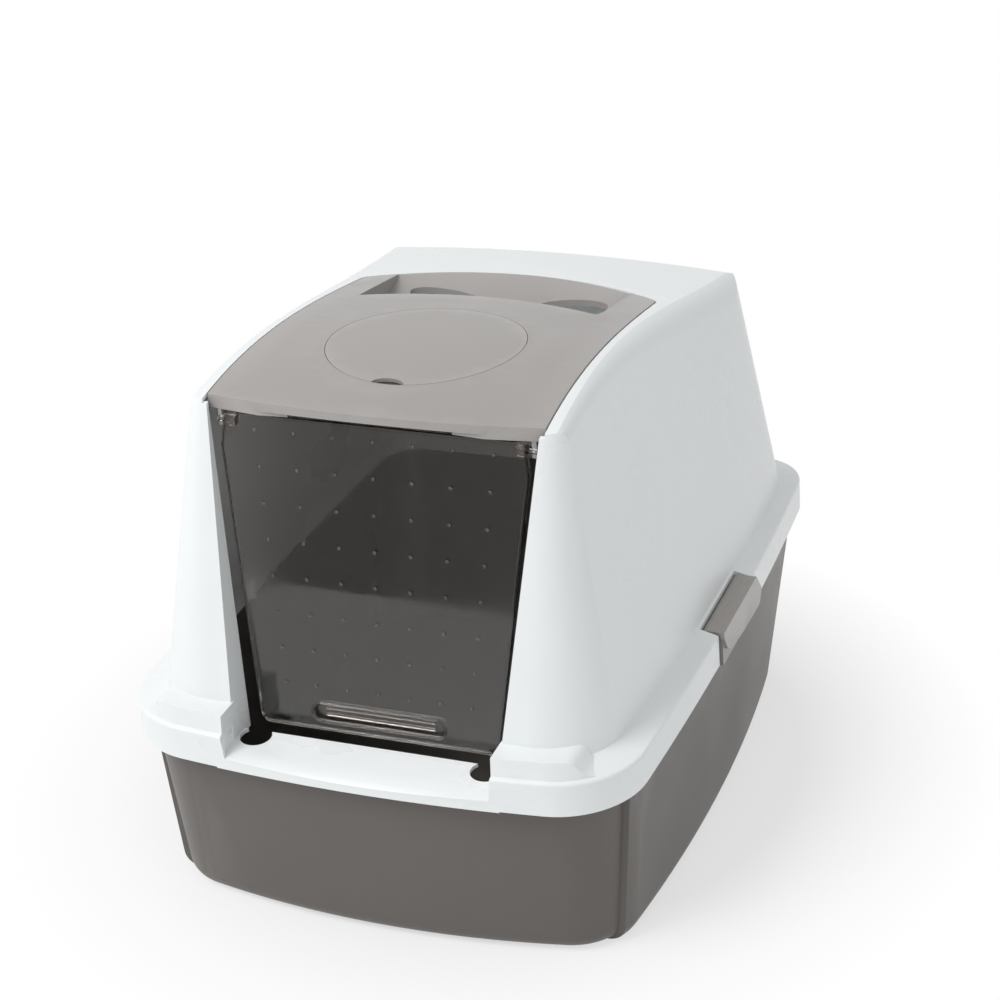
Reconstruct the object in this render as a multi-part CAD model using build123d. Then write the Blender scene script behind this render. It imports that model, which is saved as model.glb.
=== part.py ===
"""Hooded litter box with a front entry, a lifting front lid and a swing door.

The frame: +X is the box's right as seen from the front, -Y is its front (the
entry), +Z is up.  The origin is the centre of the footprint, on the floor.
Every length is in millimetres.  Each sub-part is one solid in its own STEP
file in parts/.
"""
from build123d import *
from math import asin, atan, cos, degrees, radians, sin, sqrt, tan
import os

# ---------------------------------------------------------------- sizes
# overall
FLANGE_WIDTH = 440.0        # across the hood's skirt
FLANGE_LENGTH = 575.0       # along the hood's skirt
SIDE_BOW = 9.0              # how far the long sides bow out
FRONT_BOW = 16.0            # how far the front bows out
REAR_BOW = 6.0
FLANGE_FRONT_RADIUS = 69.0
FLANGE_REAR_RADIUS = 45.0
WALL = 3.0                  # moulded wall of pan and hood
SEAT_GAP = 0.3              # between pieces that rest on each other
RUN_GAP = 0.8               # between pieces that move past each other

# heights
SKIRT_BOTTOM = 146.0
SKIRT_TOP = 174.0
PAN_HEIGHT = 152.0
LEDGE_RISE = 5.0            # the ledge climbs this much to the hood's wall

# pan
PAN_SKIRT_GAP = 8.0         # from the pan's wall to the skirt's inside
PAN_FOOT_SIDE = 13.0        # from the skirt's outline to the pan's foot
PAN_FOOT_FRONT = 19.5
PAN_FOOT_REAR = 71.5        # the rear wall is raked for the scoop
PAN_BOTTOM_SIDE_BOW = 18.0
PAN_BOTTOM_FRONT_BOW = 24.0
PAN_BOTTOM_REAR_BOW = 8.0
PAN_FRONT_RADIUS = 50.0
PAN_REAR_RADIUS = 58.0
PAN_BASE_FILLET = 14.0
PANEL_PROUD = 4.5           # the side panels stand out this far
PANEL_SETBACK = 59.5        # from the skirt's front to the panels' front edge
PANEL_TOP = 140.0
RIM_LIP = 4.5               # how far the rim's lip stands out
RIM_LIP_THICK = 4.0

# hood
LEDGE_SIDE = 18.2           # from the skirt to the hood's side walls, where they start
LEDGE_FRONT = 27.1          # and to its front face, at the skirt's top
LEDGE_REAR = 21.5
LEAN_MIDDLE = 0.20          # sideways run of the side walls per unit of height
LEAN_ENDS = 0.15
FRONT_TUCK = 10.8           # the side walls draw in towards the front
REAR_TUCK = 2.8
FRONT_LEAN = 0.275
REAR_LEAN = 0.075
REAR_TOP_RADIUS = 42.0
CORNER_FRONT_LOW = 60.0     # the front corners are full at the foot
CORNER_FRONT_HIGH = 20.0    # and tight at the roof
CORNER_REAR = 48.0
ROOF_TOP = 434.4
SUMMIT_SET = 155.4          # the roof is level this far behind the front face
ROOF_FALL = 0.00088         # its fall grows with the distance from there
ROOF_EASE = 0.0000014
CROWN = 5.0                 # the roof's rise across the lid's width
SHOULDER_FRONT = 14.0
SHOULDER_REAR = 28.0

# entry
ENTRY_HALF_LOW = 112.8      # half width at the skirt's top
ENTRY_FLARE = 0.0956        # it widens this much per unit of height
SILL_HEIGHT = 159.5
SILL_DEPTH = 16.4           # behind the front face
PLINTH_TOP = 190.0
PLINTH_INSET = 52.0         # from the skirt's side to the plinth's end
KEYHOLE_RADIUS = 13.0
KEYHOLE_INSET = 14.8        # from the entry's side to the hole's centre
KEYHOLE_DEPTH = 8.4         # behind the front face

# lid
LID_OVER_ENTRY = 26.2       # the lid's half width over the entry's
LID_TAPER = 0.022           # narrows this much per unit of length
LID_THICK = 3.0
LID_LIP_DROP = 11.0
LID_SETBACK = 60.4          # from the front face's foot to the lid's front edge
LID_FRONT_BOW = 13.0
LID_ARC_RADIUS = 257.0
LID_GAP = 1.4               # seam between lid and hood
LID_AXIS_SET = 57.0         # the hinge lies this far before the rear arc
LID_AXIS_DROP = 37.4        # and this far under the roof's top
LID_PIN_RADIUS = 4.0
PIN_GAP = 0.08
GRIP_DEPTH = 49.0           # finger gap between plate and handle
GRIP_SET = 38.0             # from the gap to the rear arc
GRIP_INSET = 33.0           # from the lid's side to the gap
HANDLE_DROP = 46.4          # its front edge lies this far under the roof's top
HANDLE_THICK = 5.0
TUB_DROP = 90.4             # the finger well's floor under the roof's top
TUB_SET = 22.0              # its front wall before the finger gap
TUB_FILLET = 9.0
LID_EAR = 3.5

# filter
FILTER_RADIUS = 80.0
FILTER_FRONT = 43.5         # from the lid's front edge to the pocket
FILTER_REAR = 22.5          # from the pocket to the finger well
FILTER_SEAM = 0.5
PAD_THICK = 9.0
POCKET_FLOOR = 3.0
SLOT_PITCH = 18.0           # of the vents in the pocket's floor
SLOT_WIDTH = 6.0

# swing door
DOOR_SET = 39.5             # the door's plane at DOOR_Z, behind the front face's foot
DOOR_Z = 223.4
DOOR_LEAN = 0.17
DOOR_THICK = 2.5
DOOR_INSET = 15.3           # from the entry's side to the door's lower corner
DOOR_FLARE = 0.1105
DOOR_BOTTOM = 161.5
DOOR_CORNER = 8.0
DOOR_TOP_DROP = 26.4        # its top edge under the roof's top
DOOR_PIN_RADIUS = 3.0
DOOR_PIN_BACK = 5.198       # the hinge lies behind the door's plane
DOOR_PIN_DROP = 30.4
DOOR_EAR_INSET = 11.5       # the lid's ears inside the lid's edge

# latches
LATCH_TOP = 176.0
POCKET_Y0 = -38.0
POCKET_Y1 = 63.0
LATCH_GAP = 2.0             # between a latch and the ends of its pocket
LATCH_PIN_RADIUS = 2.2
LATCH_BARREL = 3.8
LATCH_PIN_Z = 172.0
LATCH_PROUD = 4.0           # the latch stands out from the skirt
LATCH_PIN_DEPTH = 16.0      # from its face to its hinge
LATCH_CLEAR = 0.5           # from its barrel to the pocket's wall
LATCH_THICK = 3.5

# ------------------------------------------------ places that follow them
WALL_FOOT = SKIRT_TOP + LEDGE_RISE
HOOD_HALF = FLANGE_WIDTH / 2 - LEDGE_SIDE
FRONT_FACE = LEDGE_FRONT - FLANGE_LENGTH / 2
REAR_FACE = FLANGE_LENGTH / 2 - LEDGE_REAR
SUMMIT_Y = FRONT_FACE + SUMMIT_SET
PAN_BOTTOM_HALF = FLANGE_WIDTH / 2 - PAN_FOOT_SIDE
PAN_BOTTOM_FRONT = PAN_FOOT_FRONT - FLANGE_LENGTH / 2
PAN_BOTTOM_REAR = FLANGE_LENGTH / 2 - PAN_FOOT_REAR
PANEL_FRONT = PANEL_SETBACK - FLANGE_LENGTH / 2
SILL_BACK = FRONT_FACE + SILL_DEPTH
PLINTH_END = FLANGE_WIDTH / 2 - PLINTH_INSET
KEYHOLE_X = ENTRY_HALF_LOW - KEYHOLE_INSET
KEYHOLE_Y = FRONT_FACE + KEYHOLE_DEPTH
LID_HALF = ENTRY_HALF_LOW + LID_OVER_ENTRY
CROWN_RADIUS = (LID_HALF ** 2 + CROWN ** 2) / (2 * CROWN)
LID_FRONT_Y = FRONT_FACE + LID_SETBACK
FILTER_Y = LID_FRONT_Y + FILTER_FRONT + FILTER_RADIUS
TUB_FRONT = FILTER_Y + FILTER_RADIUS + FILTER_REAR
TUB_FLOOR = ROOF_TOP - TUB_DROP
GRIP_Y0 = TUB_FRONT + TUB_SET
GRIP_Y1 = GRIP_Y0 + GRIP_DEPTH
GRIP_HALF = LID_HALF - GRIP_INSET
LID_ARC_Y = GRIP_Y1 + GRIP_SET
LID_AXIS_Y = LID_ARC_Y - LID_AXIS_SET
LID_AXIS_Z = ROOF_TOP - LID_AXIS_DROP
HANDLE_FRONT_Z = ROOF_TOP - HANDLE_DROP
DOOR_Y = FRONT_FACE + DOOR_SET
DOOR_HALF_LOW = ENTRY_HALF_LOW - DOOR_INSET
DOOR_TOP = ROOF_TOP - DOOR_TOP_DROP
DOOR_PIN_Z = ROOF_TOP - DOOR_PIN_DROP
DOOR_PIN_Y = DOOR_Y + DOOR_LEAN * (DOOR_PIN_Z - DOOR_Z) + DOOR_PIN_BACK
DOOR_EAR_X = LID_HALF - DOOR_EAR_INSET
LATCH_FACE = FLANGE_WIDTH / 2 + LATCH_PROUD
LATCH_PIN_X = LATCH_FACE - LATCH_PIN_DEPTH
POCKET_X = LATCH_PIN_X - LATCH_BARREL - LATCH_CLEAR

# cutting blocks reach past every wall
WIDE = FLANGE_WIDTH
LONG = FLANGE_LENGTH
HIGH = ROOF_TOP + 100.0


# ------------------------------------------------------------- geometry
def ridge(y):
    """Height of the roof's centre line at a station y."""
    u = y - SUMMIT_Y
    return ROOF_TOP - ROOF_FALL * u ** 2 + ROOF_EASE * u ** 3


def box(x0, x1, y0, y1, z0, z1):
    """A block between six planes."""
    return Pos(x0, y0, z0) * Box(x1 - x0, y1 - y0, z1 - z0, align=(Align.MIN,) * 3)


def both(shape):
    """A shape and its mirror image across the middle plane."""
    return [shape, mirror(shape, about=Plane.YZ)]


def side_profile(points, half):
    """A (y, z) outline carried across the box from -half to half."""
    face = make_face(Polyline(*[(0, y, z) for y, z in points], close=True))
    return Pos(-half, 0, 0) * extrude(face, amount=2 * half, dir=(1, 0, 0))


def front_profile(points, y0, y1):
    """An (x, z) outline carried from y0 to y1."""
    face = make_face(Polyline(*[(x, y0, z) for x, z in points], close=True))
    return extrude(face, amount=y1 - y0, dir=(0, 1, 0))


def bowed(half, y0, y1, bow_side, bow_front, bow_rear, r_front, r_rear, z):
    """A level face with four bowed sides and rounded corners."""
    x = half - bow_side
    front = y0 + bow_front
    rear = y1 - bow_rear
    middle = (front + rear) / 2
    sides = [
        ThreePointArc((-x, front), (0, y0), (x, front)),
        ThreePointArc((x, front), (half, middle), (x, rear)),
        ThreePointArc((x, rear), (0, y1), (-x, rear)),
        ThreePointArc((-x, rear), (-half, middle), (-x, front)),
    ]
    face = make_face(sides).face()
    face = face.fillet_2d(r_front, face.vertices().filter_by_position(Axis.Y, y0, middle))
    square = [v for v in face.vertices() if abs(v.Y - rear) < 1e-3]
    face = face.fillet_2d(r_rear, square)
    return Pos(0, 0, z) * face


def skirt_outline(inset, z):
    """The outline of the hood's skirt, drawn in by inset."""
    return bowed(
        FLANGE_WIDTH / 2 - inset, -FLANGE_LENGTH / 2 + inset, FLANGE_LENGTH / 2 - inset,
        SIDE_BOW, FRONT_BOW, REAR_BOW,
        FLANGE_FRONT_RADIUS - inset, FLANGE_REAR_RADIUS - inset, z)


def pan_outline(z, out):
    """The pan's outline at a height, let out by out."""
    t = z / PAN_HEIGHT
    top_inset = WALL + PAN_SKIRT_GAP

    def at(low, high):
        return low + (high - low) * t

    return bowed(
        at(PAN_BOTTOM_HALF, FLANGE_WIDTH / 2 - top_inset) + out,
        at(PAN_BOTTOM_FRONT, -FLANGE_LENGTH / 2 + top_inset) - out,
        at(PAN_BOTTOM_REAR, FLANGE_LENGTH / 2 - top_inset) + out,
        at(PAN_BOTTOM_SIDE_BOW, SIDE_BOW),
        at(PAN_BOTTOM_FRONT_BOW, FRONT_BOW),
        at(PAN_BOTTOM_REAR_BOW, REAR_BOW),
        at(PAN_FRONT_RADIUS, FLANGE_FRONT_RADIUS - top_inset) + out,
        at(PAN_REAR_RADIUS, FLANGE_REAR_RADIUS - top_inset) + out, z)


def pan_form(z0, z1, out):
    """The pan's solid form between two heights, let out by out."""
    return loft([pan_outline(z0, out), pan_outline(z1, out)], ruled=True)


def pan():
    """The open pan: leaning walls, side panels and a lip under its rim."""
    body = pan_form(0, PAN_HEIGHT, 0)
    base = body.edges().group_by(Axis.Z)[0]
    body = fillet(base, PAN_BASE_FILLET)
    panel = pan_form(0, PANEL_TOP, PANEL_PROUD)
    panel = fillet(panel.edges().group_by(Axis.Z)[0], PAN_BASE_FILLET)
    body += panel & box(-WIDE, WIDE, PANEL_FRONT, LONG, 0, HIGH)
    lip_z = PAN_HEIGHT - RIM_LIP_THICK
    body += loft([pan_outline(lip_z, RIM_LIP), pan_outline(PAN_HEIGHT, RIM_LIP)], ruled=True)
    inside = pan_form(WALL, PAN_HEIGHT + 20, -WALL)
    inside = fillet(inside.edges().group_by(Axis.Z)[0], PAN_BASE_FILLET - WALL)
    return body - inside


# ---------------------------------------------------------- hood's form
def wall_half(y):
    """Half width of the hood at the foot of its walls."""
    front = max(0.0, FRONT_FACE + 300.4 - y) / 259.0
    rear = max(0.0, y - REAR_FACE + 116.0) / 79.0
    return HOOD_HALF - FRONT_TUCK * front ** 2.6 - REAR_TUCK * rear ** 2


def side_lean(y):
    """The side walls stand steeper towards both ends."""
    return LEAN_MIDDLE - (LEAN_MIDDLE - LEAN_ENDS) * (y / (REAR_FACE - 41.0)) ** 2


def roof_solid(inset):
    """Everything under the roof and before the rear face.

    The side profile turns about a far axis below, which gives the roof its
    crown.
    """
    low = 90.0
    high = ROOF_TOP + 65.6
    front = FRONT_FACE - 69.6
    end = REAR_FACE + 34.0
    stations = [front] + [FRONT_FACE + u for u in (10.4, 80.4, 155.4, 240.4, 340.4)]
    stations = stations + [end - 140, end - 60, end]
    over = Spline(*[(0, y, ridge(y) - inset) for y in stations])
    rest = Polyline(over @ 1, (0, end, low), (0, front, low), over @ 0)
    rear = REAR_FACE - inset * sqrt(1 + REAR_LEAN ** 2)
    limit = Polyline(
        (0, front, low), (0, rear + REAR_LEAN * (SKIRT_TOP - low), low),
        (0, rear - REAR_LEAN * (high - SKIRT_TOP), high), (0, front, high), close=True)
    face = (make_face([over, rest]) & make_face(limit)).face()
    half_angle = degrees(asin((FLANGE_WIDTH / 2 + 15) / CROWN_RADIUS))
    axis = Axis((0, 0, ROOF_TOP - CROWN_RADIUS), (0, 1, 0))
    solid = revolve(face, axis, revolution_arc=half_angle)
    solid += revolve(face, axis, revolution_arc=-half_angle)
    rear_edge = solid.edges().filter_by(
        lambda e: e.center().Y > REAR_FACE - 66 and e.center().Z > TUB_FLOOR - 14
        and e.bounding_box().size.X > 50)
    return fillet(rear_edge, REAR_TOP_RADIUS - inset)


def plan_solid(inset):
    """A prism with the hood's rounded front and rear corners."""
    out = FLANGE_WIDTH / 2 + 20

    def at(z):
        rise = z - SKIRT_TOP
        t = rise / (ROOF_TOP - SKIRT_TOP)
        front = FRONT_FACE + FRONT_LEAN * rise + inset * sqrt(1 + FRONT_LEAN ** 2)
        rear = REAR_FACE - REAR_LEAN * rise - inset * sqrt(1 + REAR_LEAN ** 2)
        r0 = CORNER_FRONT_LOW + (CORNER_FRONT_HIGH - CORNER_FRONT_LOW) * t - inset
        r1 = CORNER_REAR - inset
        x0 = HOOD_HALF - 67.8 + 2.0 * t
        x1 = HOOD_HALF - CORNER_REAR - 1.1 - 0.158 * rise
        right = [
            Line((0, front), (x0, front)),
            RadiusArc((x0, front), (x0 + r0, front + r0), -r0),
            Polyline((x0 + r0, front + r0), (out, front + r0), (out, rear - r1), (x1 + r1, rear - r1)),
            RadiusArc((x1 + r1, rear - r1), (x1, rear), -r1),
            Line((x1, rear), (0, rear)),
        ]
        left = [mirror(part, about=Plane.YZ) for part in right]
        return Pos(0, 0, z) * make_face(right + left)

    return loft([at(90.0), at(ROOF_TOP + 65.6)], ruled=True)


def side_solid(inset):
    """A long form with the leaning side walls and the rounded shoulders."""
    slope = radians(9.0)
    sections = []
    stations = [FRONT_FACE + u for u in (-39.6, 41.4, 89.4, 147.4, 222.4, 300.4)]
    stations = stations + [REAR_FACE + u for u in (-116.0, -37.0, 34.0)]
    for y in stations:
        lean = side_lean(y)
        lean_out = inset * sqrt(1 + lean ** 2)
        side = atan(1 / lean)
        t = min(1.0, max(0.0, (y - FRONT_FACE - 110.4) / 250.0))
        r = SHOULDER_FRONT + (SHOULDER_REAR - SHOULDER_FRONT) * t - inset
        half = wall_half(y) - lean_out
        roof = ridge(y) - inset - 128.0 ** 2 / (2 * CROWN_RADIUS)
        # the arc ends on the roof, a little steeper than the roof itself
        centre_z = roof - r * cos(slope)
        start_z = centre_z + r * cos(side)
        start_x = half - lean * (start_z - WALL_FOOT)
        centre_x = start_x - r * sin(side)
        end = (centre_x + r * sin(slope), roof)
        mid_angle = (slope + radians(90) - (radians(90) - side)) / 2
        mid = (centre_x + r * sin(mid_angle), centre_z + r * cos(mid_angle))
        low = (half + lean * (WALL_FOOT - 90.0), 90.0)
        peak = (0.0, roof + end[0] * tan(slope))

        def at(p, sign=1):
            return (sign * p[0], y, p[1])

        start = (start_x, start_z)
        edges = [
            Line(at(low), at(start)),
            ThreePointArc(at(start), at(mid), at(end)),
            Line(at(end), at(peak)),
            Line(at(peak), at(end, -1)),
            ThreePointArc(at(end, -1), at(mid, -1), at(start, -1)),
            Line(at(start, -1), at(low, -1)),
            Line(at(low, -1), at(low)),
        ]
        sections.append(make_face(edges))
    return loft(sections)


def hood_form(inset):
    return roof_solid(inset) & plan_solid(inset) & side_solid(inset)


# ----------------------------------------------------------------- hood
def ledge_form(inset):
    """The skirt's upright band and the ledge that climbs to the wall."""
    band = extrude(skirt_outline(inset, SKIRT_BOTTOM), amount=SKIRT_TOP - SKIRT_BOTTOM - inset)
    climb = 25.0
    rise = LEDGE_RISE * climb / 20.0
    slope = loft([skirt_outline(inset, SKIRT_TOP - inset),
                  skirt_outline(climb, SKIRT_TOP - inset + rise * (1 - inset / climb))], ruled=True)
    form = band + slope
    if inset == 0:
        crease = form.edges().filter_by(lambda e: abs(e.bounding_box().min.Z - SKIRT_TOP) < 0.01
                                        and abs(e.bounding_box().max.Z - SKIRT_TOP) < 0.01)
        form = fillet(crease, 2.5)
    return form


def sill_form(drop, inset):
    """The rolled threshold across the entry's foot, lowered by drop."""
    over = Spline(
        (0, SILL_BACK, SILL_HEIGHT - drop), (0, FRONT_FACE - 3.6, SILL_HEIGHT - 0.8 - drop),
        (0, FRONT_FACE - 20.6, SILL_HEIGHT - 3.6 - drop), (0, FRONT_FACE - 31.6, SILL_HEIGHT - 12 - drop),
        tangents=((0, -1, -0.02), (0, -0.6, -0.8)))
    base = SKIRT_BOTTOM - 26
    rest = Polyline(over @ 1, (0, FRONT_FACE - 31.6, base), (0, SILL_BACK, base), over @ 0)
    half = entry_half(SKIRT_TOP) + 6
    form = Pos(-half, 0, 0) * extrude(make_face([over, rest]), amount=2 * half, dir=(1, 0, 0))
    band = extrude(skirt_outline(inset, SKIRT_BOTTOM - 1), amount=60)
    return form & band


def entry_half(z):
    """Half width of the entry at a height."""
    return ENTRY_HALF_LOW + ENTRY_FLARE * (z - SKIRT_TOP)


def entry_prism(out, low, y0, y1):
    """The entry's flared outline, let out by out."""
    high = ROOF_TOP + 5.6
    a = entry_half(low) + out
    b = entry_half(high) + out
    return front_profile([(-a, low), (a, low), (b, high), (-b, high)], y0, y1)


def door_y(z):
    """The door's plane leans back a little."""
    return DOOR_Y + DOOR_LEAN * (z - DOOR_Z)


def jambs(outer):
    """The entry's returns, from the front face back to the door."""
    high = ROOF_TOP - 2.4
    low = SILL_HEIGHT - 3
    behind = RUN_GAP + DOOR_THICK / 2 + 0.95
    reach = side_profile(
        [(-LONG, low), (door_y(low) - behind, low), (door_y(high) - behind, high), (-LONG, high)], WIDE)
    frame = entry_prism(WALL, low, -LONG, 0) - entry_prism(0, low - 1, -LONG - 1, 1)
    return (frame & reach) & outer


def plinths(ledge):
    """The raised feet of the two pillars."""
    inner = entry_half(SKIRT_TOP)
    top = PLINTH_TOP
    low = SKIRT_TOP - WALL
    y0 = FRONT_FACE - 49.6
    outline = [
        Line((inner, y0, low), (inner, y0, top)),
        Line((inner, y0, top), (PLINTH_END, y0, top)),
        Spline((PLINTH_END, y0, top), (PLINTH_END + 12, y0, top - 9), (PLINTH_END + 26, y0, SKIRT_TOP),
               tangents=((1, 0, 0), (1, 0, -0.15))),
        Line((PLINTH_END + 26, y0, SKIRT_TOP), (PLINTH_END + 26, y0, low)),
        Line((PLINTH_END + 26, y0, low), (inner, y0, low)),
    ]
    block = extrude(make_face(outline), amount=70, dir=(0, 1, 0))
    lean = 2.0
    limit = loft([skirt_outline(3.5, low), skirt_outline(3.5 + lean, top + 1)], ruled=True)
    return both(block & limit)


def lid_plan(out):
    """The lid's outline seen from above, as a tall prism."""
    def half(y):
        return LID_HALF - LID_TAPER * (y - LID_FRONT_Y) + out

    y_front = -LONG
    centre = LID_ARC_Y - LID_ARC_RADIUS
    r = LID_ARC_RADIUS + out
    y_end = centre + sqrt(r ** 2 - half(LID_ARC_Y - 35) ** 2)
    x_end = half(y_end)
    z0 = 300.0
    edges = [
        Line((-half(y_front), y_front, z0), (half(y_front), y_front, z0)),
        Line((half(y_front), y_front, z0), (x_end, y_end, z0)),
        ThreePointArc((x_end, y_end, z0), (0, centre + r, z0), (-x_end, y_end, z0)),
        Line((-x_end, y_end, z0), (-half(y_front), y_front, z0)),
    ]
    face = make_face(edges).face()
    rear = [v for v in face.vertices() if v.Y > 0]
    face = face.fillet_2d(10.0 + out, rear)
    return extrude(face, amount=HIGH - z0, dir=(0, 0, 1))


def tub(out):
    """The finger well under the handle."""
    block = box(-WIDE, WIDE, TUB_FRONT - out, LONG, TUB_FLOOR - out, HIGH) & lid_plan(LID_GAP + out)
    floor = block.edges().group_by(Axis.Z)[0]
    return fillet(floor, TUB_FILLET + out)


def latch_pocket():
    """The space for one latch in the skirt and the ledge."""
    return box(POCKET_X, WIDE, POCKET_Y0, POCKET_Y1, SKIRT_BOTTOM - 10, PLINTH_TOP)


def hood():
    """The white hood in one piece."""
    outer = hood_form(0)
    inner = hood_form(WALL)
    ledge = ledge_form(0)
    low = SKIRT_TOP - WALL + 0.5

    # walls, ledge and skirt
    body = outer & box(-WIDE, WIDE, -LONG, LONG, low, HIGH)
    body = body + ledge
    body = body - ledge_form(WALL) - inner

    # the rib that stands on the pan's rim
    rib = pan_form(PAN_HEIGHT + SEAT_GAP, SKIRT_TOP + 0.5, 0) - pan_form(PAN_HEIGHT, SKIRT_TOP + 1, -WALL)
    front = box(-PLINTH_END, PLINTH_END, -LONG, LID_FRONT_Y, 0, HIGH)
    pockets = both(box(POCKET_X - 13.7, WIDE, POCKET_Y0, POCKET_Y1, 0, HIGH))
    rib = rib - front
    for pocket in pockets:
        rib = rib - pocket
    body = body + rib

    # latch pockets: wall, ends and pin holes
    rim = PAN_HEIGHT + SEAT_GAP
    zone = box(POCKET_X - 23.7, WIDE, POCKET_Y0 - WALL, POCKET_Y1 + WALL, rim, SKIRT_TOP + 2)
    back = (outer - inner) & zone
    ends = [
        ledge & box(POCKET_X - 1.7, WIDE, y, y + WALL, PAN_HEIGHT + SEAT_GAP, HIGH)
        for y in (POCKET_Y0 - WALL, POCKET_Y1)]
    hole = Pos(LATCH_PIN_X, 0, LATCH_PIN_Z) * Rot(90, 0, 0) * Cylinder(LATCH_PIN_RADIUS + PIN_GAP, 400)
    for side in both(latch_pocket()):
        body = body - side
    for piece in [back] + ends:
        for side in both(piece):
            body = body + side
    for side in both(hole):
        body = body - side

    # entry, sill, plinths and jambs
    body = body - entry_prism(0, SKIRT_BOTTOM - 20, -LONG, LID_FRONT_Y + 40)
    body = body + (sill_form(0, 0) - sill_form(WALL, WALL))
    for side in plinths(ledge):
        body = body + (side - inner)
    body = body + jambs(outer)
    for side in both(Pos(KEYHOLE_X, KEYHOLE_Y, 160) * Cylinder(KEYHOLE_RADIUS, 40)):
        body = body - side

    # the lid's opening, its seat and the finger well
    below_lid = roof_solid(max(LID_THICK + SEAT_GAP, WALL))
    body = body - (lid_plan(LID_GAP) - below_lid)
    seat = roof_solid(LID_THICK + SEAT_GAP) - roof_solid(2 * LID_THICK + SEAT_GAP)
    seat = seat & (lid_plan(6) - lid_plan(-8))
    seat = seat & box(-WIDE, WIDE, LID_FRONT_Y + 24, TUB_FRONT, 0, HIGH)
    body = body + (seat & outer)
    well = (tub(WALL) - tub(0)) & roof_solid(0)
    well = well - (lid_plan(LID_GAP) - below_lid)
    body = body - tub(0) + (well & outer)
    pin = Rot(0, 90, 0) * Cylinder(LID_PIN_RADIUS + PIN_GAP, 2 * LID_HALF - 2)
    return body - Pos(0, LID_AXIS_Y, LID_AXIS_Z) * pin


# ------------------------------------------------------------------ lid
def lid_front(back):
    """Everything behind the lid's bowed front edge."""
    chord = LID_HALF - 9
    r = (chord ** 2 + LID_FRONT_BOW ** 2) / (2 * LID_FRONT_BOW)
    x = LID_HALF + 11
    y0 = LID_FRONT_Y + back
    y1 = y0 + r - sqrt(r ** 2 - x ** 2)
    edges = [
        ThreePointArc((-x, y1, 0), (0, y0, 0), (x, y1, 0)),
        Polyline((x, y1, 0), (x, LONG, 0), (-x, LONG, 0), (-x, y1, 0)),
    ]
    return extrude(make_face(edges), amount=HIGH, dir=(0, 0, 1))


def disc(radius):
    """A tall cylinder on the filter's centre."""
    return Pos(0, FILTER_Y, ROOF_TOP) * Cylinder(radius, 108)


def pocket_depth():
    """From the roof to the top of the filter pocket's floor."""
    return LID_THICK + PAD_THICK + 4 * SEAT_GAP


def handle():
    """The grip: a band that falls from the lid's rear arc."""
    centre = LID_ARC_Y - LID_ARC_RADIUS
    r1 = LID_ARC_RADIUS + 4
    r0 = LID_ARC_RADIUS - (LID_ARC_Y - GRIP_Y1)
    top = ridge(LID_ARC_Y)
    slope = (top - HANDLE_FRONT_Z) / (LID_ARC_RADIUS - r0)
    t = HANDLE_THICK
    outline = Polyline(
        (r0, 0, HANDLE_FRONT_Z), (r1, 0, top + 4 * slope), (r1, 0, top + 4 * slope - t),
        (r0 + 3, 0, HANDLE_FRONT_Z - t), (r0, 0, HANDLE_FRONT_Z - t + 1.5), close=True)
    face = make_face(outline)
    band = revolve(face, Axis.Z, revolution_arc=140)
    band = Pos(0, centre, 0) * Rot(0, 0, 20) * band
    return band & lid_plan(0) & box(-GRIP_HALF - 3, GRIP_HALF + 3, TUB_FRONT, LONG, 0, HIGH)


def grip_window():
    """The opening in the plate, from its rear edge to the lid's rear arc."""
    bow = 18.0
    r = ((GRIP_HALF + 1) ** 2 + bow ** 2) / (2 * bow)
    back = Pos(0, GRIP_Y0 - r, ROOF_TOP) * Cylinder(r, 200)
    return box(-GRIP_HALF, GRIP_HALF, TUB_FRONT, LONG, 0, HIGH) - back


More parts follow.
